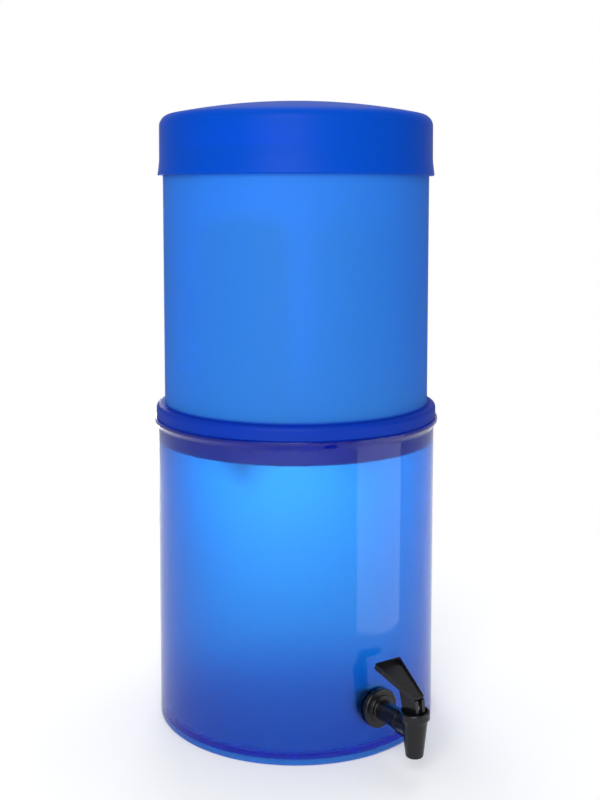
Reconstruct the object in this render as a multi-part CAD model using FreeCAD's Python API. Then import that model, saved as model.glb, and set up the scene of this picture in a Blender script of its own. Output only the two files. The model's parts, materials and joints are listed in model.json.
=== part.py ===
import FreeCAD, Part
import math
import os

# Gravity water filter: two stacked vessels, a lid, two filter candles and a self-closing tap.
# Sizes are in millimetres. Z is up, and the tap points along -Y.
# The origin is the centre of the foot ring's underside.

# Lower vessel, a clear pail with a flared lip
lower_radius = 114.3
lower_draft = 1.1
lower_height = 245.3
lower_wall = 3.0
lower_floor = 3.0
lower_floor_round = 6.0
foot_height = 4.0
foot_width = 3.6
foot_round = 3.0
lip_reach = 3.0
lip_height = 2.6
lip_flare = 3.8
lip_round = 0.8
lip_foot_round = 3.0

# Upper vessel, a frosted pail whose bead sits on the lower lip
upper_inset = 4.5
upper_draft = 1.0
upper_height = 218.7
upper_wall = 2.8
upper_floor = 3.5
upper_floor_round = 5.0
plug_depth = 19.7
plug_gap = 1.0
plug_round = 3.0
bead_overhang = 1.4
bead_height = 11.2
bead_round = 6.4
rim_round = 0.9

# Lid, a shallow dome with a skirt round the upper rim
lid_skirt = 20.8
lid_skirt_gap = 0.8
lid_skirt_wall = 2.1
lid_flare = 1.5
lid_flare_height = 12.0
lid_flare_round = 40.0
lid_rise = 39.6
lid_dome_rise = 12.4
lid_corner = 9.5
lid_wall = 3.0
lid_ledge = 1.6
lid_edge_round = 0.8

# Filter candles, which stand on the upper vessel's floor
candle_count = 2
candle_spacing = 100.0
candle_radius = 35.0
candle_height = 178.0
candle_wall = 9.0
candle_crown_round = 26.0
candle_core_gap = 0.3
candle_base_radius = 37.0
candle_base_height = 14.0
candle_base_recess = 7.0
candle_base_round = 2.5
candle_stem_radius = 6.0
candle_stem_length = 32.0
candle_stem_bore = 2.5
candle_hole_gap = 0.4
candle_washer_radius = 14.0
candle_washer_thickness = 2.5

# Wing nuts under the upper vessel's floor
wing_hub_radius = 9.5
wing_hub_height = 8.0
wing_hub_taper = 1.5
wing_shoulder = 1.0
wing_span = 36.0
wing_height = 12.0
wing_thickness = 3.2
wing_round = 4.0

# Tap body, one moulding from the threaded shank to the spout
tap_height = 37.3
tap_reach = 43.8
thread_radius = 8.0
thread_length = 22.0
thread_gap = 0.2
shank_radius = 7.5
flange_radius = 14.9
flange_thickness = 3.4
flange_round = 1.4
boss_radius = 10.6
boss_thickness = 1.7
boss_round = 0.9
hub_radius = 8.2
hub_length = 4.0
hub_step = 19.0
web_thickness = 2.6
web_drop = 10.2
web_length = 15.0
web_root = 1.0
inlet_radius = 4.5
spout_drop = 20.5
spout_radius = 6.5
spout_round = 1.2
body_radius = 9.65
body_rise = 13.7
collar_radius = 11.3
collar_height = 5.6
collar_round = 1.1
collar_step = 1.5
outlet_radius = 4.6
seat_drop = 8.0
chamber_radius = 6.2
recess_radius = 9.7
recess_depth = 4.8
snap_reach = 0.4
snap_height = 0.9
snap_offset = 0.5
snap_round = 0.1
running_gap = 0.1

# Washers and nut that clamp the tap to the wall
outer_washer_radius = 13.6
outer_washer_thickness = 1.0
inner_washer_radius = 14.0
inner_washer_thickness = 2.6
nut_flats = 27.0
nut_thickness = 8.0
nut_chamfer = 1.2

# Valve inside the tap
bonnet_thickness = 1.85
bonnet_spigot = 3.0
stem_radius = 1.6
stem_disc_radius = 5.2
stem_disc_thickness = 1.4
stem_peg_radius = 2.5
stem_peg_length = 3.4
stem_head_radius = 3.0
stem_head_width = 3.2
trunnion_radius = 1.25
trunnion_length = 6.2
cup_radius = 5.7
cup_floor = 1.5
seat_gap = 0.1
spring_wire = 0.8
spring_radius = 4.4
spring_turns = 5
spring_seat_gap = 0.05

# Handle, a tapered tray on a forked neck
press_angle = 25.0
lift_per_radian = 5.0
foot_drop = 4.3
foot_gap = 0.15
handle_length = 41.0
handle_nose_width = 8.3
handle_end_width = 24.0
handle_thickness = 4.4
handle_slope = 20.9
handle_nose_reach = 5.9
handle_nose_rise = 10.2
handle_corner = 1.2
tray_rim = 1.0
tray_end_rim = 1.2
tray_nose_depth = 0.6
tray_depth = 1.6
tray_pocket_depth = 3.2
tray_pocket_length = 5.5
tray_step_length = 0.8
neck_front = 7.2
neck_front_width = 8.3
neck_back_width = 11.2
neck_top_back = 12.5
neck_corner = 0.8
neck_front_lean = 1.2
slot_gap = 0.1
slot_back = 4.4
slot_top = 8.6
slot_round = 1.5

# Small roundings, and how far a cut runs past what it cuts
crisp_round = 0.3
edge_round = 0.5
inner_round = 1.0
overrun = 1.0

# Radii, heights and places that follow from the sizes above
lower_base_radius = lower_radius - lower_draft
upper_radius = lower_radius - upper_inset
upper_base_radius = upper_radius - upper_draft
bead_radius = lower_radius + bead_overhang
lid_radius = upper_radius + lid_skirt_gap + lid_skirt_wall
floor_top = foot_height + lower_floor
plug_bottom = lower_height - plug_depth
bead_top = lower_height + bead_height
rim_height = lower_height + upper_height
upper_floor_top = plug_bottom + upper_floor
candle_base_bottom = upper_floor_top + candle_washer_thickness
body_top = tap_height + body_rise
spout_bottom = tap_height - spout_drop
collar_bottom = body_top - collar_height
recess_floor = body_top - recess_depth
seat_height = tap_height - seat_drop
bonnet_top = recess_floor + bonnet_thickness
bonnet_bottom = recess_floor - bonnet_spigot
trunnion_height = bonnet_top + foot_gap + foot_drop
cup_bottom = seat_height + seat_gap
cup_top = cup_bottom + cup_floor + stem_peg_length
disc_top = cup_top + stem_disc_thickness
full_lift = lift_per_radian * math.radians(press_angle)

ORIGIN = FreeCAD.Vector(0, 0, 0)
UP = FreeCAD.Vector(0, 0, 1)
ACROSS = FreeCAD.Vector(1, 0, 0)
BACK = FreeCAD.Vector(0, 1, 0)

parts = {}


# Outlines and the solids made from them

def upright(u, v):
    return FreeCAD.Vector(u, 0, v)


def flat(u, v):
    return FreeCAD.Vector(u, v, 0)


def side_on(u, v):
    return FreeCAD.Vector(0, u, v)


def rounded_wire(corners, place):
    """Closed wire through (u, v, radius) corners, each rounded by an arc as far as its sides allow."""
    points = [place(u, v) for u, v, radius in corners]
    count = len(points)
    sides = [(points[(i + 1) % count] - points[i]).Length for i in range(count)]
    arcs = []
    for i in range(count):
        back = points[i - 1] - points[i]
        ahead = points[(i + 1) % count] - points[i]
        half_angle = back.getAngle(ahead) / 2
        room = 0.49 * min(sides[i - 1], sides[i])
        setback = min(corners[i][2] / math.tan(half_angle), room)
        if setback < 0.01:
            arcs.append((points[i], None, points[i]))
            continue
        back.normalize()
        ahead.normalize()
        bisector = back + ahead
        bisector.normalize()
        radius = setback * math.tan(half_angle)
        nearest = radius / math.sin(half_angle) - radius
        arcs.append((points[i] + back * setback, points[i] + bisector * nearest,
                     points[i] + ahead * setback))
    edges = []
    for i in range(count):
        start, middle, end = arcs[i]
        if middle is not None:
            edges.append(Part.Arc(start, middle, end).toShape())
        following = arcs[(i + 1) % count][0]
        if (following - end).Length > 0.001:
            edges.append(Part.LineSegment(end, following).toShape())
    return Part.Wire(edges)


def turned(corners):
    """Solid turned about Z from (radius, height, corner radius) points."""
    return Part.Face(rounded_wire(corners, upright)).revolve(ORIGIN, UP, 360)


def plate(corners, low, high):
    """Flat plate with an (x, y, corner radius) outline, from one height to another."""
    shape = Part.Face(rounded_wire(corners, flat)).extrude(UP * (high - low))
    shape.translate(UP * low)
    return shape


def slab(corners, width):
    """Plate across X with a (y, z, corner radius) outline, centred on X = 0."""
    shape = Part.Face(rounded_wire(corners, side_on)).extrude(ACROSS * width)
    shape.translate(ACROSS * (-width / 2))
    return shape


def drum(radius, low, high, x=0.0, y=0.0):
    return Part.makeCylinder(radius, high - low, FreeCAD.Vector(x, y, low), UP)


def along_tap(shape):
    """Turn a solid made along Z to lie along -Y at the tap's height, so that Z becomes the reach."""
    shape.rotate(ORIGIN, ACROSS, 90)
    shape.translate(UP * tap_height)
    return shape


def at_body(shape):
    """Move a solid made about the Z axis to the tap's vertical axis."""
    shape.translate(BACK * -body_reach)
    return shape


# Lower vessel

def lower_outside_radius(height):
    share = height / lower_height
    return lower_base_radius + (lower_radius - lower_base_radius) * share


wall_reach = lower_outside_radius(tap_height)
wall_inner_reach = wall_reach - lower_wall
body_reach = wall_reach + tap_reach
flange_back = wall_reach + outer_washer_thickness
boss_front = flange_back + flange_thickness + boss_thickness
nut_reach = wall_inner_reach - inner_washer_thickness


def lower_outside():
    """Outer form of the lower vessel, filled in above its floor."""
    lip_low = lower_height - lip_height
    lip_radius = lower_radius + lip_reach
    return turned([
        (0, foot_height, 0),
        (lower_base_radius - foot_width, foot_height, inner_round),
        (lower_base_radius - foot_width, 0, inner_round),
        (lower_outside_radius(0), 0, foot_round),
        (lower_outside_radius(lip_low - lip_flare), lip_low - lip_flare, lip_foot_round),
        (lip_radius, lip_low, lip_round),
        (lip_radius, lower_height, lip_round),
        (0, lower_height, 0),
    ])


def lower_inside():
    """Space inside the lower vessel."""
    over = lower_height + overrun
    return turned([
        (0, floor_top, 0),
        (lower_outside_radius(floor_top) - lower_wall, floor_top, lower_floor_round),
        (lower_outside_radius(over) - lower_wall, over, 0),
        (0, over, 0),
    ])


def tap_hole():
    return along_tap(drum(thread_radius + thread_gap, nut_reach, flange_back))


def make_lower_vessel():
    parts["lower_vessel"] = lower_outside().cut(lower_inside()).cut(tap_hole())


# Upper vessel

def upper_outside_radius(height):
    share = (height - bead_top) / (rim_height - bead_top)
    return upper_base_radius + (upper_radius - upper_base_radius) * share


def upper_outside():
    """Outer form of the upper vessel, filled in, with its plug and its bead."""
    plug_radius = lower_outside_radius(plug_bottom) - lower_wall - plug_gap
    return turned([
        (0, plug_bottom, 0),
        (plug_radius, plug_bottom, plug_round),
        (plug_radius, lower_height, 0),
        (bead_radius, lower_height, edge_round),
        (bead_radius, bead_top, bead_round),
        (upper_base_radius, bead_top, crisp_round),
        (upper_outside_radius(rim_height), rim_height, rim_round),
        (0, rim_height, 0),
    ])


def upper_inside():
    over = rim_height + overrun
    return turned([
        (0, upper_floor_top, 0),
        (upper_outside_radius(upper_floor_top) - upper_wall, upper_floor_top, upper_floor_round),
        (upper_outside_radius(over) - upper_wall, over, 0),
        (0, over, 0),
    ])


def candle_places():
    """Centres of the candles, evenly round the vessel's axis."""
    angles = [2 * math.pi * i / candle_count for i in range(candle_count)]
    return [(-candle_spacing / 2 * math.cos(a), -candle_spacing / 2 * math.sin(a)) for a in angles]


def make_upper_vessel():
    vessel = upper_outside().cut(upper_inside())
    hole_radius = candle_stem_radius + candle_hole_gap
    for x, y in candle_places():
        vessel = vessel.cut(drum(hole_radius, plug_bottom - overrun, upper_floor_top + overrun, x, y))
    parts["upper_vessel"] = vessel


# Lid

def dome_edges(side, foot, crown, sphere, corner):
    """Edges of a domed form's half outline: up its side, round the corner and over the dome."""
    dome_centre = crown - sphere
    corner_r = side - corner
    corner_z = dome_centre + math.sqrt((sphere - corner) ** 2 - corner_r ** 2)
    lean = math.atan2(corner_z - dome_centre, corner_r)
    half_lean = lean / 2
    side_top = upright(side, corner_z)
    corner_middle = upright(corner_r + corner * math.cos(half_lean), corner_z + corner * math.sin(half_lean))
    dome_foot = upright(sphere * math.cos(lean), dome_centre + sphere * math.sin(lean))
    dome_lean = (lean + math.pi / 2) / 2
    dome_middle = upright(sphere * math.cos(dome_lean), dome_centre + sphere * math.sin(dome_lean))
    return [
        Part.LineSegment(upright(side, foot), side_top).toShape(),
        Part.Arc(side_top, corner_middle, dome_foot).toShape(),
        Part.Arc(dome_foot, dome_middle, upright(0, crown)).toShape(),
    ]


def domed(side, foot, crown, sphere, corner):
    edges = dome_edges(side, foot, crown, sphere, corner)
    edges.append(Part.LineSegment(upright(0, crown), upright(0, foot)).toShape())
    edges.append(Part.LineSegment(upright(0, foot), upright(side, foot)).toShape())
    return Part.Face(Part.Wire(edges)).revolve(ORIGIN, UP, 360)


def make_lid():
    crown = rim_height + lid_rise
    skirt_bottom = rim_height - lid_skirt
    flare_top = skirt_bottom + lid_flare_height
    sphere = (lid_radius ** 2 + lid_dome_rise ** 2) / (2 * lid_dome_rise)
    ledge_radius = upper_radius - lid_ledge
    skirt_inside = upper_radius + lid_skirt_gap
    skirt = turned([
        (0, skirt_bottom, 0),
        (lid_radius + lid_flare, skirt_bottom, lid_edge_round),
        (lid_radius, flare_top, lid_flare_round),
        (lid_radius, rim_height, 0),
        (0, rim_height, 0),
    ])
    lid = skirt.fuse(domed(lid_radius, rim_height, crown, sphere, lid_corner)).removeSplitter()
    lid = lid.cut(drum(skirt_inside, skirt_bottom - overrun, rim_height))
    inner_corner = lid_corner - lid_wall
    hollow = domed(ledge_radius, rim_height - overrun, crown - lid_wall, sphere - lid_wall, inner_corner)
    parts["lid"] = lid.cut(hollow)


# Filter candles

def make_candle_shell(x, y):
    low = candle_base_bottom + candle_base_height - candle_base_recess
    high = candle_base_bottom + candle_height
    cavity_round = max(candle_crown_round - candle_wall, inner_round)
    outer = turned([
        (0, low, 0),
        (candle_radius, low, edge_round),
        (candle_radius, high, candle_crown_round),
        (0, high, 0),
    ])
    inner = turned([
        (0, low - overrun, 0),
        (candle_radius - candle_wall, low - overrun, 0),
        (candle_radius - candle_wall, high - candle_wall, cavity_round),
        (0, high - candle_wall, 0),
    ])
    shell = outer.cut(inner)
    shell.translate(flat(x, y))
    return shell


def make_candle_core(x, y):
    low = candle_base_bottom + candle_base_height - candle_base_recess
    high = candle_base_bottom + candle_height - candle_wall - candle_core_gap
    core_radius = candle_radius - candle_wall - candle_core_gap
    core_round = max(candle_crown_round - candle_wall, inner_round)
    core = turned([
        (0, low, 0),
        (core_radius, low, edge_round),
        (core_radius, high, core_round),
        (0, high, 0),
    ])
    core.translate(flat(x, y))
    return core


def make_candle_base(x, y):
    top = candle_base_bottom + candle_base_height
    shelf = top - candle_base_recess
    stem_end = candle_base_bottom - candle_stem_length
    base = turned([
        (0, stem_end, 0),
        (candle_stem_radius, stem_end, inner_round),
        (candle_stem_radius, candle_base_bottom, 0),
        (candle_base_radius, candle_base_bottom, candle_base_round),
        (candle_base_radius, top, edge_round),
        (candle_radius, top, 0),
        (candle_radius, shelf, 0),
        (0, shelf, 0),
    ])
    base = base.cut(drum(candle_stem_bore, stem_end - overrun, shelf + overrun))
    base.translate(flat(x, y))
    return base


def make_candle_washer(x, y):
    washer = drum(candle_washer_radius, upper_floor_top, candle_base_bottom, x, y)
    return washer.cut(drum(candle_stem_radius, upper_floor_top - overrun, candle_base_bottom + overrun, x, y))


def make_wing_nut(x, y):
    low = plug_bottom - wing_hub_height
    nut = turned([
        (0, low, 0),
        (wing_hub_radius - wing_hub_taper, low, edge_round),
        (wing_hub_radius, plug_bottom, crisp_round),
        (0, plug_bottom, 0),
    ])
    wing_top = plug_bottom - wing_shoulder
    wing = Part.Face(rounded_wire([
        (-wing_span / 2, wing_top - wing_height, wing_round),
        (wing_span / 2, wing_top - wing_height, wing_round),
        (wing_span / 2, wing_top, wing_round),
        (-wing_span / 2, wing_top, wing_round),
    ], upright)).extrude(BACK * wing_thickness)
    wing.translate(BACK * (-wing_thickness / 2))
    wing = wing.cut(drum(wing_hub_radius - wing_shoulder, wing_top - wing_height - overrun, low))
    nut = nut.fuse(wing).removeSplitter()
    nut = nut.cut(drum(candle_stem_radius, wing_top - wing_height - overrun, plug_bottom + overrun))
    nut.translate(flat(x, y))
    return nut


def make_candles():
    makers = {
        "ceramic_shell": make_candle_shell,
        "carbon_core": make_candle_core,
        "base": make_candle_base,
        "seal_washer": make_candle_washer,
        "wing_nut": make_wing_nut,
    }
    for number, (x, y) in enumerate(candle_places(), start=1):
        for piece, maker in makers.items():
            parts[f"candle_{number}_{piece}"] = maker(x, y)


# Tap body, washers and nut

def make_tap_body():
    thread_end = wall_inner_reach - thread_length
    hub_back = body_reach - hub_step
    shank = along_tap(turned([
        (0, thread_end, 0),
        (thread_radius, thread_end, inner_round),
        (thread_radius, flange_back, 0),
        (flange_radius, flange_back, edge_round),
        (flange_radius, flange_back + flange_thickness, flange_round),
        (boss_radius, flange_back + flange_thickness, edge_round),
        (boss_radius, boss_front, boss_round),
        (shank_radius, boss_front, inner_round),
        (shank_radius, hub_back, crisp_round),
        (hub_radius, hub_back, edge_round),
        (hub_radius, hub_back + hub_length, edge_round),
        (shank_radius, hub_back + hub_length, crisp_round),
        (shank_radius, body_reach, 0),
        (0, body_reach, 0),
    ]))
    spout = at_body(turned([
        (0, spout_bottom, 0),
        (spout_radius, spout_bottom, spout_round),
        (body_radius, collar_bottom - collar_step, collar_step),
        (collar_radius, collar_bottom, edge_round),
        (collar_radius, body_top, collar_round),
        (0, body_top, 0),
    ]))
    web = slab([
        (-body_reach, tap_height, 0),
        (-body_reach, tap_height - web_drop, 0),
        (-body_reach + web_length + spout_radius, tap_height - web_drop, inner_round),
        (-body_reach + web_length + spout_radius, tap_height - shank_radius + web_root, inner_round),
        (-boss_front, tap_height - shank_radius + web_root, 0),
        (-boss_front, tap_height, 0),
    ], web_thickness)
    body = shank.fuse(spout).fuse(web).removeSplitter()
    groove_low = recess_floor + snap_offset - running_gap
    groove_high = groove_low + snap_height + 2 * running_gap
    hollow = at_body(turned([
        (0, spout_bottom - overrun, 0),
        (outlet_radius, spout_bottom - overrun, 0),
        (outlet_radius, seat_height, crisp_round),
        (chamber_radius, seat_height, 0),
        (chamber_radius, recess_floor, 0),
        (recess_radius, recess_floor, 0),
        (recess_radius, groove_low, 0),
        (recess_radius + snap_reach, groove_low, 0),
        (recess_radius + snap_reach, groove_high, 0),
        (recess_radius, groove_high, 0),
        (recess_radius, body_top + overrun, 0),
        (0, body_top + overrun, 0),
    ]))
    inlet = along_tap(drum(inlet_radius, thread_end - overrun, body_reach))
    parts["tap_body"] = body.cut(hollow).cut(inlet)


def make_tap_washers():
    outer = along_tap(drum(outer_washer_radius, wall_inner_reach, flange_back))
    outer = outer.cut(along_tap(drum(thread_radius, wall_inner_reach, flange_back)))
    parts["tap_outer_washer"] = outer.cut(lower_outside())
    inner = along_tap(drum(inner_washer_radius, nut_reach, wall_reach))
    inner = inner.cut(along_tap(drum(thread_radius, nut_reach, wall_reach)))
    parts["tap_inner_washer"] = inner.common(lower_inside())


def make_lock_nut():
    low = nut_reach - nut_thickness
    corner = nut_flats / 2 / math.cos(math.pi / 6)
    angles = [math.pi / 3 * i for i in range(6)]
    nut = plate([(corner * math.cos(a), corner * math.sin(a), edge_round) for a in angles], low, nut_reach)
    nut = nut.common(turned([
        (0, low, 0),
        (nut_flats / 2, low, 0),
        (nut_flats / 2 + 2 * nut_chamfer, low + nut_chamfer, 0),
        (nut_flats / 2 + 2 * nut_chamfer, nut_reach, 0),
        (0, nut_reach, 0),
    ]))
    nut = nut.cut(drum(thread_radius, low - overrun, nut_reach + overrun))
    parts["tap_lock_nut"] = along_tap(nut)


# Valve

def make_bonnet():
    snap_low = recess_floor + snap_offset
    bonnet_radius = recess_radius - running_gap
    spigot_radius = chamber_radius - running_gap
    bonnet = turned([
        (0, bonnet_bottom, 0),
        (spigot_radius, bonnet_bottom, crisp_round),
        (spigot_radius, recess_floor, 0),
        (bonnet_radius, recess_floor, 0),
        (bonnet_radius, snap_low, 0),
        (bonnet_radius + snap_reach, snap_low, snap_round),
        (bonnet_radius + snap_reach, snap_low + snap_height, snap_round),
        (bonnet_radius, snap_low + snap_height, 0),
        (bonnet_radius, bonnet_top, crisp_round),
        (0, bonnet_top, 0),
    ])
    hole = drum(stem_radius + running_gap, bonnet_bottom - overrun, bonnet_top + overrun)
    parts["tap_bonnet"] = at_body(bonnet.cut(hole))


def make_valve_stem():
    stem = turned([
        (0, cup_bottom + cup_floor, 0),
        (stem_peg_radius, cup_bottom + cup_floor, crisp_round),
        (stem_peg_radius, cup_top, 0),
        (stem_disc_radius, cup_top, crisp_round),
        (stem_disc_radius, disc_top, crisp_round),
        (stem_radius, disc_top, crisp_round),
        (stem_radius, trunnion_height, 0),
        (0, trunnion_height, 0),
    ])
    head_side = FreeCAD.Vector(-stem_head_width / 2, 0, trunnion_height)
    head = Part.makeCylinder(stem_head_radius, stem_head_width, head_side, ACROSS)
    trunnion_side = FreeCAD.Vector(-trunnion_length / 2, 0, trunnion_height)
    trunnion = Part.makeCylinder(trunnion_radius, trunnion_length, trunnion_side, ACROSS)
    parts["tap_valve_stem"] = at_body(stem.fuse(head).fuse(trunnion).removeSplitter())


def make_seat_cup():
    cup = turned([
        (0, cup_bottom, 0),
        (cup_radius, cup_bottom, crisp_round),
        (cup_radius, cup_top, edge_round),
        (stem_peg_radius, cup_top, 0),
        (stem_peg_radius, cup_bottom + cup_floor, crisp_round),
        (0, cup_bottom + cup_floor, 0),
    ])
    parts["tap_seat_cup"] = at_body(cup)


def tangent_arc(start, direction, end):
    """Arc from a start, leaving it in a unit direction, to an end."""
    chord = end - start
    half_turn = direction.getAngle(chord)
    reach = chord.Length / 2 / math.cos(half_turn)
    apex = start + direction * reach
    foot = (start + end) * 0.5
    middle = foot + (apex - foot) * (math.tan(half_turn / 2) / math.tan(half_turn))
    return Part.Arc(start, middle, end).toShape()


def coil_path(radius, low, rise, turns):
    """Helix about Z made of pairs of tangent arcs, each pair a quarter turn long."""
    pieces = 4 * turns
    climb = rise / (2 * math.pi * turns)

    def point(angle):
        return FreeCAD.Vector(radius * math.cos(angle), radius * math.sin(angle), low + climb * angle)

    def heading(angle):
        tangent = FreeCAD.Vector(-radius * math.sin(angle), radius * math.cos(angle), climb)
        return tangent.normalize()

    edges = []
    for i in range(pieces):
        a = math.pi / 2 * i
        b = math.pi / 2 * (i + 1)
        start, end, leave, arrive = point(a), point(b), heading(a), heading(b)
        span = end - start
        both = leave + arrive
        bend = 2 * (1 - leave.dot(arrive))
        along = span.dot(both)
        reach = (-along + math.sqrt(along ** 2 + bend * span.dot(span))) / bend
        joint = (start + leave * reach + end - arrive * reach) * 0.5
        turning = start + leave * reach
        middle_heading = (joint - turning).normalize()
        edges.append(tangent_arc(start, leave, joint))
        edges.append(tangent_arc(joint, middle_heading, end))
    return Part.Wire(edges), point(0), heading(0)


def make_spring():
    low = disc_top + spring_seat_gap + spring_wire / 2
    high = bonnet_bottom - spring_seat_gap - spring_wire / 2
    path, start, direction = coil_path(spring_radius, low, high - low, spring_turns)
    section = Part.Wire(Part.makeCircle(spring_wire / 2, start, direction))
    coil = path.makePipeShell([section], True, False)
    if coil.Volume < 0:
        coil.reverse()
    print("spring: gap between turns", round((high - low) / spring_turns - spring_wire, 2))
    parts["tap_return_spring"] = at_body(coil)


# Handle

def cam_point(angle):
    """Point of the foot's cam, where a flat under it lifts in step with the handle's angle."""
    lift = foot_drop + lift_per_radian * angle
    across = lift * math.sin(angle) + lift_per_radian * math.cos(angle)
    down = lift * math.cos(angle) - lift_per_radian * math.sin(angle)
    return side_on(across, trunnion_height - down)


def neck_side():
    """Side view of the neck: flat foot, cam behind it, then up to the tray's underside."""
    full_press = math.radians(press_angle)
    cam_start = cam_point(0)
    cam_end = cam_point(full_press)
    slope = math.tan(math.radians(handle_slope))
    nose_under = trunnion_height + handle_nose_rise - handle_thickness / 2
    front_bottom = side_on(-neck_front, trunnion_height - foot_drop)
    front_top = side_on(-neck_front + neck_front_lean, nose_under)
    back_top = side_on(neck_top_back, nose_under + slope * (neck_top_back + handle_nose_reach))
    path = [
        Part.LineSegment(front_bottom, cam_start).toShape(),
        Part.Arc(cam_start, cam_point(full_press / 2), cam_end).toShape(),
        Part.LineSegment(cam_end, back_top).toShape(),
        Part.LineSegment(back_top, front_top).toShape(),
        Part.LineSegment(front_top, front_bottom).toShape(),
    ]
    return Part.Face(Part.Wire(path))


def make_neck():
    wide = 2 * neck_back_width
    neck = neck_side().extrude(ACROSS * wide)
    neck.translate(ACROSS * (-wide / 2))
    low = trunnion_height - foot_drop - overrun
    high = trunnion_height + handle_nose_rise + handle_length
    plan = plate([
        (-neck_front_width / 2, -neck_front, neck_corner),
        (neck_front_width / 2, -neck_front, neck_corner),
        (neck_back_width / 2, neck_top_back, neck_corner),
        (-neck_back_width / 2, neck_top_back, neck_corner),
    ], low, high)
    neck = neck.common(plan)
    slot_width = max(stem_head_width, 2 * stem_radius) + 2 * slot_gap
    slot_low = trunnion_height - foot_drop - overrun
    slot_high = trunnion_height + slot_top
    return neck, slab([
        (-2 * neck_front, slot_low, 0),
        (slot_back, slot_low, 0),
        (slot_back, slot_high, slot_round),
        (-2 * neck_front, slot_high, 0),
    ], slot_width)


def half_width(along):
    """Half the tray's width at a distance from its nose."""
    return (handle_nose_width + (handle_end_width - handle_nose_width) * along / handle_length) / 2


def tray_outline(start, end, inset, corner):
    return [
        (-half_width(start) + inset, start, corner),
        (half_width(start) - inset, start, corner),
        (half_width(end) - inset, end, corner),
        (-half_width(end) + inset, end, corner),
    ]


def make_tray():
    tray = plate(tray_outline(0, handle_length, 0, handle_corner), -handle_thickness, 0)
    floor_end = handle_length - tray_end_rim
    pocket_start = floor_end - tray_pocket_length
    floor_cut = plate(tray_outline(tray_rim, floor_end, tray_rim, edge_round), -tray_pocket_depth, overrun)
    wedge = slab([
        (0, -tray_nose_depth, 0),
        (pocket_start, -tray_depth, 0),
        (pocket_start + tray_step_length, -tray_pocket_depth, 0),
        (handle_length, -tray_pocket_depth, 0),
        (handle_length, 2 * overrun, 0),
        (0, 2 * overrun, 0),
    ], 2 * handle_end_width)
    tray = tray.cut(floor_cut.common(wedge))
    tray.rotate(ORIGIN, ACROSS, handle_slope)
    tray.translate(side_on(-handle_nose_reach, trunnion_height + handle_nose_rise))
    return tray


def make_handle():
    neck, slot = make_neck()
    above = make_tray()
    cap = Part.makeBox(4 * handle_end_width, 4 * handle_length, 4 * handle_length)
    cap.translate(FreeCAD.Vector(-2 * handle_end_width, -2 * handle_length, -handle_thickness / 2))
    cap.rotate(ORIGIN, ACROSS, handle_slope)
    cap.translate(side_on(-handle_nose_reach, trunnion_height + handle_nose_rise))
    neck = neck.cut(cap)
    socket_radius = trunnion_radius + running_gap / 2
    socket_length = trunnion_length + 2 * running_gap
    middle = FreeCAD.Vector(-socket_length / 2, 0, trunnion_height)
    socket = Part.makeCylinder(socket_radius, socket_length, middle, ACROSS)
    handle = above.fuse(neck).removeSplitter().cut(slot).cut(socket)
    parts["tap_handle"] = at_body(handle)


def main():
    make_lower_vessel()
    make_upper_vessel()
    make_lid()
    make_candles()
    make_tap_body()
    make_tap_washers()
    make_lock_nut()
    make_bonnet()
    make_valve_stem()
    make_seat_cup()
    make_spring()
    make_handle()
    os.makedirs("parts", exist_ok=True)
    for name, shape in parts.items():
        solids = shape.Solids
        print(name, "solids", len(solids), "valid", shape.isValid(), "volume", round(shape.Volume, 1))
        solid = solids[0] if len(solids) == 1 else shape
        solid.exportStep(f"parts/{name}.step")


main()
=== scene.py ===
"""Finishes a two-vessel gravity water filter: blue plastics, tap, candles, screw threads and stage."""

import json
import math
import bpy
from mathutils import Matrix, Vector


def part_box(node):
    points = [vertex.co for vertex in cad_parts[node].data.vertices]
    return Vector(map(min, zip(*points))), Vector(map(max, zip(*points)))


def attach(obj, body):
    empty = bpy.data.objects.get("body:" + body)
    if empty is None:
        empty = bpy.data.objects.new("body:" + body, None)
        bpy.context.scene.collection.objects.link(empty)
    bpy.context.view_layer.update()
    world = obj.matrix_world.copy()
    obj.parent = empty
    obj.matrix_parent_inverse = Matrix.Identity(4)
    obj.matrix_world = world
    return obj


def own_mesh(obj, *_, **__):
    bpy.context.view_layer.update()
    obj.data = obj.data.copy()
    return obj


bl_info = {
    "name": "Gravity water filter",
    "version": (1, 0, 0),
    "blender": (4, 5, 0),
    "location": "3D View > Sidebar > Filter",
    "description": "Gives a gravity water filter its plastics, threads and stage",
    "category": "Object",
}

import bpy
import numpy as np
from mathutils import Vector

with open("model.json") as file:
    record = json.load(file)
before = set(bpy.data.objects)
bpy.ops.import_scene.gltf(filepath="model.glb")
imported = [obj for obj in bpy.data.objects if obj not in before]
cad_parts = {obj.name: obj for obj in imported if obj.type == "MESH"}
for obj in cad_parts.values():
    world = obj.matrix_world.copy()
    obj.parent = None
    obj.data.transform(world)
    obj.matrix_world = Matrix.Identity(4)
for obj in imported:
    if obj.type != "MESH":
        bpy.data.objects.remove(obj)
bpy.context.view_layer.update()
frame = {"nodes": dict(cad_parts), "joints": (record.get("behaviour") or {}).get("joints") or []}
nodes = frame["nodes"]


# Places that are read from the frame, in metres

def middle_of(node):
    """Centre of a node's box."""
    low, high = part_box(node)
    return (Vector(low) + Vector(high)) / 2


def height_of(node):
    """Lowest and highest point of a node."""
    low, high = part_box(node)
    return low[2], high[2]


lip_top = height_of("lower_vessel")[1]
shank_axis = middle_of("tap_inner_washer")
candle_numbers = sorted({name.split("_")[1] for name in nodes if name.startswith("candle_")})


# Shader sockets with arithmetic, and the material builder

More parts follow.
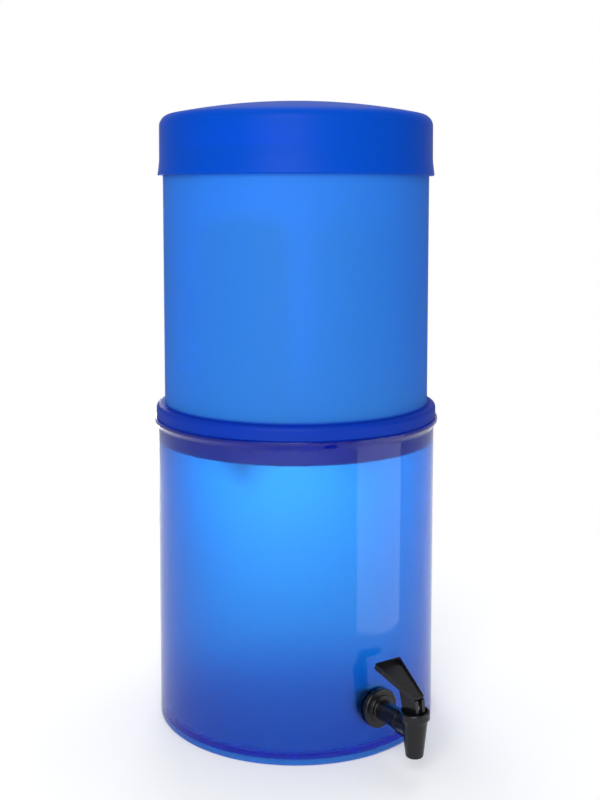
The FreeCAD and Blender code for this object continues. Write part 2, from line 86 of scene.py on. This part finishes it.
class Wire:
    """A shader socket. Arithmetic on it adds Math nodes to its material."""

    def __init__(self, finish, socket):
        self.finish = finish
        self.socket = socket

    def combine(self, operation, first, second=None):
        values = {0: first}
        if second is not None:
            values[1] = second
        return self.finish.node("ShaderNodeMath", {"operation": operation}, values)

    def __add__(self, other):
        return self.combine("ADD", self, other)

    def __radd__(self, other):
        return self.combine("ADD", other, self)

    def __sub__(self, other):
        return self.combine("SUBTRACT", self, other)

    def __rsub__(self, other):
        return self.combine("SUBTRACT", other, self)

    def __mul__(self, other):
        return self.combine("MULTIPLY", self, other)

    def __rmul__(self, other):
        return self.combine("MULTIPLY", other, self)

    def __pow__(self, other):
        return self.combine("POWER", self, other)

    def over(self, level):
        """1 where the value is above the level, else 0."""
        return self.combine("GREATER_THAN", self, level)

    def wave(self):
        return self.combine("SINE", self)

    def either(self, other):
        return self.combine("MAXIMUM", self, other)

    def within(self, low, high):
        """0 at low, 1 at high, held at both ends."""
        values = {0: self, 1: low, 2: high, 3: 0.0, 4: 1.0}
        return self.finish.node("ShaderNodeMapRange", {"clamp": True}, values)


class Finish:
    """A material that is built node by node."""

    def __init__(self, name, tree=None):
        if tree is None:
            self.material = bpy.data.materials.new(name)
            self.material.use_nodes = True
            tree = self.material.node_tree
        self.tree = tree
        self.tree.nodes.clear()
        self.places = {}

    def node(self, kind, settings=None, values=None, output=0):
        """Add a node of a kind, set its settings, then its sockets, and return one of its outputs."""
        made = self.tree.nodes.new(kind)
        for key, value in (settings or {}).items():
            setattr(made, key, value)
        for key, value in (values or {}).items():
            socket = made.inputs[key]
            if isinstance(value, Wire):
                self.tree.links.new(value.socket, socket)
            else:
                socket.default_value = value
        return Wire(self, made.outputs[output])

    def place(self):
        """Object coordinates, in metres."""
        if "place" not in self.places:
            self.places["place"] = self.node("ShaderNodeTexCoord", {}, {}, "Object")
        return self.places["place"]

    def axis(self, name):
        """One of the object coordinates X, Y or Z."""
        if name not in self.places:
            self.places[name] = self.node("ShaderNodeSeparateXYZ", {}, {0: self.place()}, name)
        return self.places[name]

    def radius(self):
        """Distance from the vessels' upright axis."""
        x = self.axis("X")
        y = self.axis("Y")
        return (x * x + y * y) ** 0.5

    def noise(self, scale, detail=2.0, roughness=0.5, stretch=(1.0, 1.0, 1.0)):
        """Noise from 0 to 1, with about scale blotches to the metre, drawn out along an axis by stretch."""
        place = self.place()
        if stretch != (1.0, 1.0, 1.0):
            place = self.node("ShaderNodeMapping", {}, {"Vector": place, "Scale": stretch})
        return self.node("ShaderNodeTexNoise", {}, {
            "Vector": place, "Scale": scale, "Detail": detail, "Roughness": roughness}, "Fac")

    def blend(self, factor, first, second):
        """Colour between two colours."""
        return self.node("ShaderNodeMix", {"data_type": "RGBA"}, {0: factor, 6: first, 7: second}, 2)

    def bump(self, height, distance, strength=1.0, onto=None):
        values = {"Height": height, "Distance": distance, "Strength": strength}
        if onto is not None:
            values["Normal"] = onto
        return self.node("ShaderNodeBump", {}, values)

    def surface(self, values, absorb=None):
        """Principled surface, with an absorbing inside where one is given as (colour, density)."""
        shader = self.node("ShaderNodeBsdfPrincipled", {}, values)
        outputs = {"Surface": shader}
        if absorb is not None:
            colour, density = absorb
            inside = {"Color": colour, "Density": density}
            outputs["Volume"] = self.node("ShaderNodeVolumeAbsorption", {}, inside)
        output = self.tree.nodes.new("ShaderNodeOutputMaterial")
        for key, wire in outputs.items():
            self.tree.links.new(wire.socket, output.inputs[key])
        return self.material


# Surfaces

def add_mesh(name, points, faces):
    """Mesh object from an array of points and an array of four-cornered faces, shaded smooth."""
    mesh = bpy.data.meshes.new(name)
    mesh.from_pydata(points.tolist(), [], faces.tolist())
    mesh.validate()
    mesh.shade_smooth()
    piece = bpy.data.objects.new(name, mesh)
    bpy.context.collection.objects.link(piece)
    return piece


def grid_faces(rows, columns):
    """Faces of a grid that is open along its rows and closed round its columns."""
    row, column = np.meshgrid(np.arange(rows - 1), np.arange(columns), indexing="ij")
    after = (column + 1) % columns
    corners = (row * columns + column, row * columns + after, (row + 1) * columns + after,
               (row + 1) * columns + column)
    return np.stack([corner.ravel() for corner in corners], axis=1)


def capped(rows, columns):
    """Faces of a closed tube with four-cornered ends."""
    ends = np.array([[3, 2, 1, 0], [0, 1, 2, 3]])
    ends[1] += (rows - 1) * columns
    return np.concatenate([grid_faces(rows, columns), ends])


def screw_ridge(radius, depth, pitch, low, high, steps_per_turn=48):
    """Thread ridge about Z. It climbs one pitch a turn, stands depth proud of the radius and fades out at
    both ends, and its four-cornered section is broad at the root and narrow at the crest."""
    turns = (high - low - pitch) / pitch
    steps = int(turns * steps_per_turn)
    share = np.linspace(0.0, 1.0, steps)
    angle = share * turns * 2 * math.pi
    height = low + pitch / 2 + share * turns * pitch
    fade = np.clip(np.minimum(share, 1 - share) * turns * 2, 0.05, 1.0)
    reach = np.array([-0.25, 1.0, 1.0, -0.25])
    spread = np.array([-0.42, -0.10, 0.10, 0.42]) * pitch
    ring = radius + depth * np.where(reach > 0, reach * fade[:, None], reach)
    points = np.stack([
        ring * np.cos(angle)[:, None],
        ring * np.sin(angle)[:, None],
        height[:, None] + spread[None, :],
    ], axis=2)
    return points.reshape(-1, 3), capped(steps, 4)


def finish_with(piece, material, body):
    """Give a new piece its material and the body that it rides on."""
    piece.data.materials.clear()
    piece.data.materials.append(material)
    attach(piece, body)


def dress(name, material):
    """Give a frame node its material."""
    for holder in nodes[name].material_slots:
        holder.material = material


# Settings

class FilterPlastics(bpy.types.PropertyGroup):
    """Colours and textures of the vessels and the tap"""

    clear_tint: bpy.props.FloatVectorProperty(
        name="Clear vessel tint", description="Light that a thick wall of the clear vessel lets through",
        subtype="COLOR", size=3, min=0.0, max=1.0, default=(0.02, 0.68, 0.985))
    clear_density: bpy.props.FloatProperty(
        name="Clear vessel density", description="How strongly the clear vessel's wall absorbs, per metre",
        default=520.0, min=0.0)
    clear_body: bpy.props.FloatVectorProperty(
        name="Clear vessel body", description="Tint that light takes at a face of the clear vessel",
        subtype="COLOR", size=3, min=0.0, max=1.0, default=(0.6, 0.9, 0.97))
    frosted_tint: bpy.props.FloatVectorProperty(
        name="Frosted vessel tint", description="Light that a thick wall of the frosted vessel lets through",
        subtype="COLOR", size=3, min=0.0, max=1.0, default=(0.02, 0.66, 0.98))
    frosted_density: bpy.props.FloatProperty(
        name="Frosted vessel density",
        description="How strongly the frosted vessel's wall absorbs, per metre",
        default=300.0, min=0.0)
    frosted_body: bpy.props.FloatVectorProperty(
        name="Frosted vessel body", description="Colour of the light that the frosted vessel scatters",
        subtype="COLOR", size=3, min=0.0, max=1.0, default=(0.05, 0.38, 0.92))
    frosted_clearness: bpy.props.FloatProperty(
        name="Frosted vessel clearness",
        description="Share of the light that goes through the frosted vessel",
        default=0.6, min=0.5, max=1.0, subtype="FACTOR")
    lid_tint: bpy.props.FloatVectorProperty(
        name="Lid tint", description="Light that a thick wall of the lid lets through",
        subtype="COLOR", size=3, min=0.0, max=1.0, default=(0.02, 0.68, 0.96))
    lid_density: bpy.props.FloatProperty(
        name="Lid density", description="How strongly the lid's wall absorbs, per metre",
        default=500.0, min=0.0)
    lid_body: bpy.props.FloatVectorProperty(
        name="Lid body", description="Colour of the light that the lid scatters",
        subtype="COLOR", size=3, min=0.0, max=1.0, default=(0.0, 0.12, 0.76))
    lid_clearness: bpy.props.FloatProperty(
        name="Lid clearness", description="Share of the light that goes through the lid",
        default=0.5, min=0.5, max=1.0, subtype="FACTOR")
    frost: bpy.props.FloatProperty(
        name="Frost", description="Roughness of the frosted vessel's wall", default=0.6, min=0.0, max=1.0,
        subtype="FACTOR")
    lid_share: bpy.props.FloatProperty(
        name="Lid frost", description="Roughness of the lid as a share of the frosted vessel's",
        default=2 / 3, min=0.0, max=1.0, subtype="FACTOR")
    tap_black: bpy.props.FloatVectorProperty(
        name="Tap black", description="Colour of the tap's plastic", subtype="COLOR", size=3, min=0.0,
        max=1.0, default=(0.005, 0.005, 0.006))


class FilterThreads(bpy.types.PropertyGroup):
    """Screw threads of the tap and the candles"""

    shank_pitch: bpy.props.FloatProperty(
        name="Shank pitch", description="Pitch of the thread on the tap's shank", default=0.0018,
        subtype="DISTANCE", unit="LENGTH")
    stem_pitch: bpy.props.FloatProperty(
        name="Stem pitch", description="Pitch of the thread on the candles' stems", default=0.0016,
        subtype="DISTANCE", unit="LENGTH")
    shank_radius: bpy.props.FloatProperty(
        name="Shank radius", description="Radius of the tap's shank under its thread", default=0.008,
        subtype="DISTANCE", unit="LENGTH")
    stem_radius: bpy.props.FloatProperty(
        name="Stem radius", description="Radius of a candle's stem under its thread", default=0.006,
        subtype="DISTANCE", unit="LENGTH")
    thread_share: bpy.props.FloatProperty(
        name="Thread depth", description="Depth of a thread as a share of its pitch", default=0.4,
        subtype="FACTOR", min=0.1, max=0.8)


class FilterStage(bpy.types.PropertyGroup):
    """Camera, floor and light"""

    camera_distance: bpy.props.FloatProperty(
        name="Camera distance", description="Level distance from the vessels' axis to the camera",
        default=0.9637, subtype="DISTANCE", unit="LENGTH")
    camera_height: bpy.props.FloatProperty(
        name="Camera height", description="Height of the camera over the floor", default=0.4251,
        subtype="DISTANCE", unit="LENGTH")
    camera_side: bpy.props.FloatProperty(
        name="Camera side", description="Turn of the camera from the front of the tap",
        default=math.radians(-33.5), subtype="ANGLE", unit="ROTATION")
    camera_tilt: bpy.props.FloatProperty(
        name="Camera tilt", description="How far the camera looks down", default=math.radians(2.57),
        subtype="ANGLE", unit="ROTATION")
    lens: bpy.props.FloatProperty(
        name="Lens", description="Focal length on a 36 mm frame", default=52.23)
    shift_x: bpy.props.FloatProperty(
        name="Shift across", description="Shift of the frame to the right, in frame heights", default=0.005)
    shift_y: bpy.props.FloatProperty(
        name="Shift up", description="Shift of the frame upwards, in frame heights", default=-0.1875)
    floor_lift: bpy.props.FloatProperty(
        name="Floor lift", description="Glow that is added to the floor near the object", default=0.2,
        min=0.0)
    floor_near: bpy.props.FloatProperty(
        name="Floor fade start", description="Distance at which the floor starts to turn plain white",
        default=0.26, subtype="DISTANCE", unit="LENGTH")
    floor_far: bpy.props.FloatProperty(
        name="Floor fade end", description="Distance past which the floor is plain white", default=0.6,
        subtype="DISTANCE", unit="LENGTH")
    diffuse_level: bpy.props.FloatProperty(
        name="Room light", description="Level of the even light from all round", default=0.45, min=0.0)
    key_power: bpy.props.FloatProperty(
        name="Key lamp", description="Power of the soft lamp in front", default=27.5, subtype="POWER",
        unit="POWER")
    dim_level: bpy.props.FloatProperty(
        name="Dim room", description="Level that glossy and clear walls see away from the backdrop",
        default=0.05, min=0.0)
    backdrop_level: bpy.props.FloatProperty(
        name="Backdrop level", description="Level that glossy and clear walls see in the backdrop",
        default=0.6, min=0.0)
    backdrop_start: bpy.props.FloatProperty(
        name="Backdrop edge", description="Cosine of the angle at which the pale backdrop fades out",
        default=0.3)
    backdrop_full: bpy.props.FloatProperty(
        name="Backdrop full", description="Cosine of the angle inside which the backdrop is full",
        default=0.9)
    back_power: bpy.props.FloatProperty(
        name="Back lamp", description="Power of the soft lamp behind the object", default=4.0,
        subtype="POWER", unit="POWER")
    top_power: bpy.props.FloatProperty(
        name="Top lamp", description="Power of the soft lamp overhead", default=5.0, subtype="POWER",
        unit="POWER")
    card_power: bpy.props.FloatProperty(
        name="Card lamp", description="Power of the lit card that the clear wall mirrors beside the tap",
        default=0.17, subtype="POWER", unit="POWER")


# Fixed values, with lengths in metres

WHITE = (1.0, 1.0, 1.0, 1.0)
FLOOR_RINGS = (0.3, 1.0, 3.0, 8.0)
FLOOR_SIDES = 64
FLOOR_DROP = 0.00005  # keeps the floor just clear of the foot
WALL_STEP = 0.0015  # from the inner washer's seat out to the middle of the lower vessel's wall
BEAD_RISE = 0.0115  # from the lower lip to the top of the upper vessel's bead
# Painted shade below the upper vessel's bead top fades in over this height
BEAD_SHADE_FADE = 0.002
BEAD_ROUGHNESS = 0.5
BEAD_SHADE_SHARES = (0.0, 0.2, 0.75)  # painted shade: share of the wall's red, green and blue left in the darkened bead and skirt
SHEEN_CHANGE = 0.08
FLOW_DEPTH = 0.0006
STEM_LEAD = 0.0012  # plain end of a candle's stem
STEM_IN_NUT = 0.004  # how far the stem's thread runs on into the wing nut
SHANK_LEAD = 0.0008  # plain end of the tap's shank


# Finishes

def blue_plastic(name, tint, density, body, clearness, gloss, bend, outside, inside, wall_middle, grain,
                 painted_shade_top=None):
    """Tinted plastic of an index of refraction, bend. It has its outside roughness beyond the radius
    wall_middle and its inside roughness within it, and a fine mould grain over slow flow marks. Where the
    height of a bead's top is given, the colour from there down is painted darker: painted shade on the
    bead and the skirt below it."""
    finish = Finish(name)
    smudge = finish.noise(9.0, 3.0, 0.55)
    inner = 1 - finish.radius().over(wall_middle)
    rough = outside + inner * (inside - outside) + (smudge - 0.5) * SHEEN_CHANGE
    fine = finish.noise(1600.0, 2.0, 0.6)
    flow = finish.noise(14.0, 1.0, 0.5, (1.0, 1.0, 0.25))
    normal = finish.bump(fine, grain)
    normal = finish.bump(flow, FLOW_DEPTH, 0.5, normal)
    colour = (*body, 1.0)
    # Painted shade: from the bead's top down the colour is darkened, for the bead and the skirt inside the
    # lower vessel
    if painted_shade_top is not None:
        painted_bead_shade = tuple(value * share for value, share in zip(body, BEAD_SHADE_SHARES))
        colour = finish.blend(finish.axis("Z").within(painted_shade_top, painted_shade_top + BEAD_SHADE_FADE), (*painted_bead_shade, 1.0), colour)
    return finish.surface({
        "Base Color": colour,
        "Roughness": rough,
        "IOR": bend,
        "Specular IOR Level": gloss,
        "Transmission Weight": clearness,
        "Normal": normal,
    }, ((*tint, 1.0), density))


def black_plastic(colour):
    """Moulded black plastic: fine grain, slow sheen changes and paler rubbed spots."""
    finish = Finish("moulded_black")
    blotch = finish.noise(60.0, 3.0, 0.6)
    fine = finish.noise(2600.0, 2.0, 0.6)
    rubbed = finish.noise(220.0, 4.0, 0.7).within(0.62, 0.8)
    paler = tuple(value * 2.2 + 0.006 for value in colour)
    return finish.surface({
        "Base Color": finish.blend(rubbed * 0.5, (*colour, 1.0), (*paler, 1.0)),
        "Roughness": 0.16 + blotch * 0.14 + rubbed * 0.1,
        "IOR": 1.48,
        "Normal": finish.bump(fine, 0.00003, 0.6),
    })


def black_rubber():
    finish = Finish("washer_rubber")
    fine = finish.noise(1800.0, 3.0, 0.6)
    return finish.surface({
        "Base Color": finish.blend(fine, (0.012, 0.012, 0.012, 1.0), (0.03, 0.03, 0.03, 1.0)),
        "Roughness": 0.62 + fine * 0.2,
        "Normal": finish.bump(fine, 0.00005, 0.6),
    })


def silicone():
    finish = Finish("white_silicone")
    soft = finish.noise(300.0, 2.0, 0.5)
    return finish.surface({
        "Base Color": finish.blend(soft, (0.72, 0.72, 0.68, 1.0), (0.8, 0.8, 0.77, 1.0)),
        "Roughness": 0.42 + soft * 0.12,
        "Normal": finish.bump(soft, 0.00004, 0.5),
    })


def spring_wire():
    finish = Finish("spring_wire")
    drawn = finish.noise(900.0, 3.0, 0.6)
    return finish.surface({
        "Base Color": finish.blend(drawn, (0.5, 0.5, 0.49, 1.0), (0.68, 0.67, 0.65, 1.0)),
        "Metallic": 1.0,
        "Roughness": 0.22 + drawn * 0.2,
        "Normal": finish.bump(drawn, 0.00003, 0.4),
    })


def ceramic():
    """Unglazed white ceramic: chalky, with pits and faint rings from its firing."""
    finish = Finish("candle_ceramic")
    pits = finish.noise(1100.0, 4.0, 0.7)
    cloud = finish.noise(26.0, 3.0, 0.6)
    rings = (finish.axis("Z") * 900.0 + cloud * 3.0).wave() * 0.5 + 0.5
    return finish.surface({
        "Base Color": finish.blend(cloud, (0.86, 0.84, 0.78, 1.0), (0.93, 0.92, 0.88, 1.0)),
        "Roughness": 0.8 + pits * 0.15,
        "Normal": finish.bump(pits + rings * 0.3, 0.00008, 0.7),
    })


def carbon():
    finish = Finish("carbon_block")
    grit = finish.noise(1400.0, 5.0, 0.75)
    return finish.surface({
        "Base Color": finish.blend(grit, (0.01, 0.01, 0.01, 1.0), (0.045, 0.045, 0.045, 1.0)),
        "Roughness": 0.75 + grit * 0.2,
        "Normal": finish.bump(grit, 0.00015, 0.8),
    })


def white_plastic():
    finish = Finish("moulded_white")
    cloud = finish.noise(40.0, 2.0, 0.5)
    fine = finish.noise(1500.0, 2.0, 0.5)
    return finish.surface({
        "Base Color": finish.blend(cloud, (0.84, 0.84, 0.81, 1.0), (0.9, 0.9, 0.88, 1.0)),
        "Roughness": 0.28 + cloud * 0.12,
        "Normal": finish.bump(fine, 0.00002, 0.5),
    })


# Operators

def plastics():
    return bpy.context.scene.filter_plastics


def threads():
    return bpy.context.scene.filter_threads


class FILTER_OT_vessels(bpy.types.Operator):
    """Give both vessels and the lid their tinted plastic"""

    bl_idname = "filter.vessels"
    bl_label = "Vessels and lid"

    def execute(self, context):
        look = plastics()
        # The upper vessel's wall stands inside this radius, and only its bead beyond it
        wall_middle = WALL_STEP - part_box("tap_inner_washer")[0][1]
        lid_frost = look.frost * look.lid_share
        dress("lower_vessel", blue_plastic(
            "clear_blue", look.clear_tint, look.clear_density, look.clear_body, clearness=1.0, gloss=0.2,
            bend=1.45, outside=0.03, inside=0.6, wall_middle=wall_middle, grain=0.00001))
        # The upper vessel gets painted shade on its bead and the skirt below it
        dress("upper_vessel", blue_plastic(
            "frosted_blue", look.frosted_tint, look.frosted_density, look.frosted_body,
            look.frosted_clearness, gloss=0.3, bend=1.25, outside=BEAD_ROUGHNESS, inside=look.frost,
            wall_middle=wall_middle, grain=0.00003, painted_shade_top=lip_top + BEAD_RISE))
        dress("lid", blue_plastic(
            "lid_blue", look.lid_tint, look.lid_density, look.lid_body, look.lid_clearness, gloss=0.12,
            bend=1.2, outside=lid_frost, inside=lid_frost, wall_middle=wall_middle, grain=0.00003))
        return {"FINISHED"}


class FILTER_OT_candles(bpy.types.Operator):
    """Give each candle its ceramic, carbon and fittings, and cut the thread on its stem"""

    bl_idname = "filter.candles"
    bl_label = "Candles"

    def execute(self, context):
        finishes = {
            "ceramic_shell": ceramic(),
            "carbon_core": carbon(),
            "base": white_plastic(),
            "seal_washer": silicone(),
        }
        finishes["wing_nut"] = finishes["base"]
        mark = threads()
        for number in candle_numbers:
            for piece, material in finishes.items():
                dress(f"candle_{number}_{piece}", material)
            centre = middle_of(f"candle_{number}_base")
            start = height_of(f"candle_{number}_base")[0] + STEM_LEAD
            end = height_of(f"candle_{number}_wing_nut")[0] + STEM_IN_NUT
            depth = mark.stem_pitch * mark.thread_share
            points, faces = screw_ridge(mark.stem_radius, depth, mark.stem_pitch, start, end)
            points += np.array([centre.x, centre.y, 0.0])
            piece = add_mesh(f"candle_{number}_stem_thread", points, faces)
            finish_with(piece, finishes["base"], "upper")
        return {"FINISHED"}


class FILTER_OT_tap(bpy.types.Operator):
    """Give the tap its plastics, rubber, wire and shank thread"""

    bl_idname = "filter.tap"
    bl_label = "Tap"

    def execute(self, context):
        black = black_plastic(tuple(plastics().tap_black))
        for name in ("tap_body", "tap_lock_nut", "tap_bonnet", "tap_handle"):
            dress(name, black)
        rubber = black_rubber()
        dress("tap_outer_washer", rubber)
        dress("tap_inner_washer", rubber)
        dress("tap_valve_stem", white_plastic())
        dress("tap_seat_cup", silicone())
        dress("tap_return_spring", spring_wire())
        self.cut_shank_thread(black)
        self.press_spring()
        return {"FINISHED"}

    def press_spring(self):
        """Gives the spring a mesh of its own. Its ends and the valve's lift are read, but the spring is not
        squashed.
        """
        low, high = height_of("tap_return_spring")
        centre = middle_of("tap_return_spring")
        lift = next(joint["range_m"][1] for joint in frame["joints"] if joint["name"] == "valve_lift")
        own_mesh(nodes["tap_return_spring"], "valve_lift", (0.0, 0.0, 1.0), (centre.x, centre.y, high),
                  1 - lift / (high - low))

    def cut_shank_thread(self, material):
        """Thread on the shank's free end, inside the vessel past the lock nut."""
        mark = threads()
        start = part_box("tap_lock_nut")[1][1]
        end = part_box("tap_body")[1][1] - SHANK_LEAD
        depth = mark.shank_pitch * mark.thread_share
        points, faces = screw_ridge(mark.shank_radius, depth, mark.shank_pitch, start, end)
        laid = np.stack([points[:, 0], points[:, 2], shank_axis.z - points[:, 1]], axis=1)
        piece = add_mesh("tap_shank_thread", laid, faces)
        finish_with(piece, material, "base")


class FILTER_OT_stage(bpy.types.Operator):
    """Set the floor, the room light, the lamps and the camera"""

    bl_idname = "filter.stage"
    bl_label = "Stage"

    def execute(self, context):
        stage = context.scene.filter_stage
        self.lay_floor(stage)
        self.light_room(context, stage)
        self.hang_lamp("key_lamp", place=(-1.2, -1.35, 1.0), target=(0.0, 0.0, 0.25), size=(1.2, 1.4),
                       power=stage.key_power)
        self.hang_lamp("back_lamp", place=(0.4, 0.9, 0.3), target=(0.0, 0.0, 0.18), size=(0.4, 0.7),
                       power=stage.back_power)
        self.hang_lamp("top_lamp", place=(0.25, 0.3, 1.5), target=(0.0, 0.0, 0.2), size=(0.9, 0.9),
                       power=stage.top_power)
        card = self.hang_lamp("card_lamp", place=(0.13, -0.27, 0.13), target=(0.005, -0.062, 0.13),
                              size=(0.2, 0.23), power=stage.card_power)
        card.visible_diffuse = False
        card.visible_transmission = False
        self.set_camera(context, stage)
        view = context.scene.view_settings
        view.view_transform = "Standard"
        return {"FINISHED"}

    def lay_floor(self, stage):
        """Round white floor that shows the object's shadow. Where the camera sees it, it is a little lifted
        near the object and plain white farther off."""
        finish = Finish("stage_floor")
        diffuse = finish.node("ShaderNodeBsdfDiffuse", {}, {"Color": (0.9, 0.9, 0.9, 1.0)})
        glow = finish.node("ShaderNodeEmission", {}, {"Color": WHITE, "Strength": stage.floor_lift})
        both = finish.node("ShaderNodeAddShader", {}, {0: diffuse, 1: glow})
        white = finish.node("ShaderNodeEmission", {}, {"Color": WHITE, "Strength": 1.0})
        far = finish.radius().within(stage.floor_near, stage.floor_far)
        shown = finish.node("ShaderNodeMixShader", {}, {0: far, 1: both, 2: white})
        camera = finish.node("ShaderNodeLightPath", {}, {}, "Is Camera Ray")
        clear = finish.node("ShaderNodeLightPath", {}, {}, "Is Transmission Ray")
        mixed = finish.node("ShaderNodeMixShader", {}, {0: camera.either(clear), 1: diffuse, 2: shown})
        output = finish.tree.nodes.new("ShaderNodeOutputMaterial")
        finish.tree.links.new(mixed.socket, output.inputs["Surface"])
        rings = np.array(FLOOR_RINGS)
        angle = np.linspace(0.0, 2 * math.pi, FLOOR_SIDES, endpoint=False)
        points = np.stack([
            rings[:, None] * np.cos(angle)[None, :],
            rings[:, None] * np.sin(angle)[None, :],
            np.full((len(rings), len(angle)), -FLOOR_DROP),
        ], axis=2).reshape(-1, 3)
        mesh = bpy.data.meshes.new("stage_floor")
        faces = grid_faces(len(rings), len(angle)).tolist()
        faces.append(list(range(len(angle))))
        mesh.from_pydata(points.tolist(), [], faces)
        floor = bpy.data.objects.new("stage_floor", mesh)
        bpy.context.collection.objects.link(floor)
        mesh.materials.append(finish.material)

    def light_room(self, context, stage):
        """Even light for matte surfaces. Glossy and clear ones see a dim room with a pale backdrop behind
        the object, and the camera sees white."""
        world = bpy.data.worlds.new("stage_room")
        context.scene.world = world
        world.use_nodes = True
        finish = Finish("stage_room", world.node_tree)
        camera = finish.node("ShaderNodeLightPath", {}, {}, "Is Camera Ray")
        glossy = finish.node("ShaderNodeLightPath", {}, {}, "Is Glossy Ray")
        clear = finish.node("ShaderNodeLightPath", {}, {}, "Is Transmission Ray")
        way = finish.node("ShaderNodeTexCoord", {}, {}, "Generated")
        behind = (math.sin(-stage.camera_side), math.cos(stage.camera_side), 0.0)
        product = {"operation": "DOT_PRODUCT"}
        facing = finish.node("ShaderNodeVectorMath", product, {0: way, 1: behind}, "Value")
        backdrop = facing.within(stage.backdrop_start, stage.backdrop_full)
        room = stage.dim_level + backdrop * (stage.backdrop_level - stage.dim_level)
        matte = finish.node("ShaderNodeLightPath", {}, {}, "Diffuse Depth").over(0.5)
        seen = glossy.either(clear) * (1 - matte)
        lit = stage.diffuse_level + seen * (room - stage.diffuse_level)
        level = lit + camera * (1.0 - lit)
        sky = finish.node("ShaderNodeBackground", {}, {"Color": WHITE, "Strength": level})
        output = finish.tree.nodes.new("ShaderNodeOutputWorld")
        finish.tree.links.new(sky.socket, output.inputs["Surface"])

    def hang_lamp(self, name, place, target, size, power):
        """Rectangular lamp at a place, facing a target."""
        lamp = bpy.data.lights.new(name, "AREA")
        lamp.shape = "RECTANGLE"
        lamp.size, lamp.size_y = size
        lamp.energy = power
        holder = bpy.data.objects.new(name, lamp)
        holder.location = place
        aim = Vector(target) - Vector(place)
        holder.rotation_euler = aim.to_track_quat("-Z", "Y").to_euler()
        holder.visible_camera = False
        bpy.context.collection.objects.link(holder)
        return holder

    def set_camera(self, context, stage):
        """Camera at the photograph's angle. Its frame is shifted down, so upright lines stay near upright."""
        camera = bpy.data.cameras.new("camera")
        camera.sensor_width = 36.0
        camera.lens = stage.lens
        camera.shift_x = stage.shift_x
        camera.shift_y = stage.shift_y
        camera.clip_start = 0.01
        camera.clip_end = 50.0
        holder = bpy.data.objects.new("camera", camera)
        side = stage.camera_side
        holder.location = (
            math.sin(side) * stage.camera_distance,
            -math.cos(side) * stage.camera_distance,
            stage.camera_height,
        )
        holder.rotation_euler = (math.pi / 2 - stage.camera_tilt, 0.0, side)
        context.scene.collection.objects.link(holder)
        context.scene.camera = holder


class FILTER_PT_panel(bpy.types.Panel):
    """Panel that lists the filter's settings and steps"""

    bl_idname = "FILTER_PT_panel"
    bl_label = "Gravity filter"
    bl_space_type = "VIEW_3D"
    bl_region_type = "UI"
    bl_category = "Filter"

    def draw(self, context):
        layout = self.layout
        for group in (plastics(), threads(), context.scene.filter_stage):
            box = layout.box()
            for name in group.__annotations__:
                box.prop(group, name)
        for step in STEPS:
            layout.operator(step.bl_idname)


STEPS = (FILTER_OT_stage, FILTER_OT_vessels, FILTER_OT_candles, FILTER_OT_tap)
GROUPS = (FilterPlastics, FilterThreads, FilterStage)


def register():
    for kind in (*GROUPS, *STEPS, FILTER_PT_panel):
        bpy.utils.register_class(kind)
    bpy.types.Scene.filter_plastics = bpy.props.PointerProperty(type=FilterPlastics)
    bpy.types.Scene.filter_threads = bpy.props.PointerProperty(type=FilterThreads)
    bpy.types.Scene.filter_stage = bpy.props.PointerProperty(type=FilterStage)


def unregister():
    del bpy.types.Scene.filter_stage
    del bpy.types.Scene.filter_threads
    del bpy.types.Scene.filter_plastics
    for kind in reversed((*GROUPS, *STEPS, FILTER_PT_panel)):
        bpy.utils.unregister_class(kind)


def main():
    register()
    for step in STEPS:
        group, action = step.bl_idname.split(".")
        getattr(getattr(bpy.ops, group), action)()


if __name__ == "__main__":
    main()
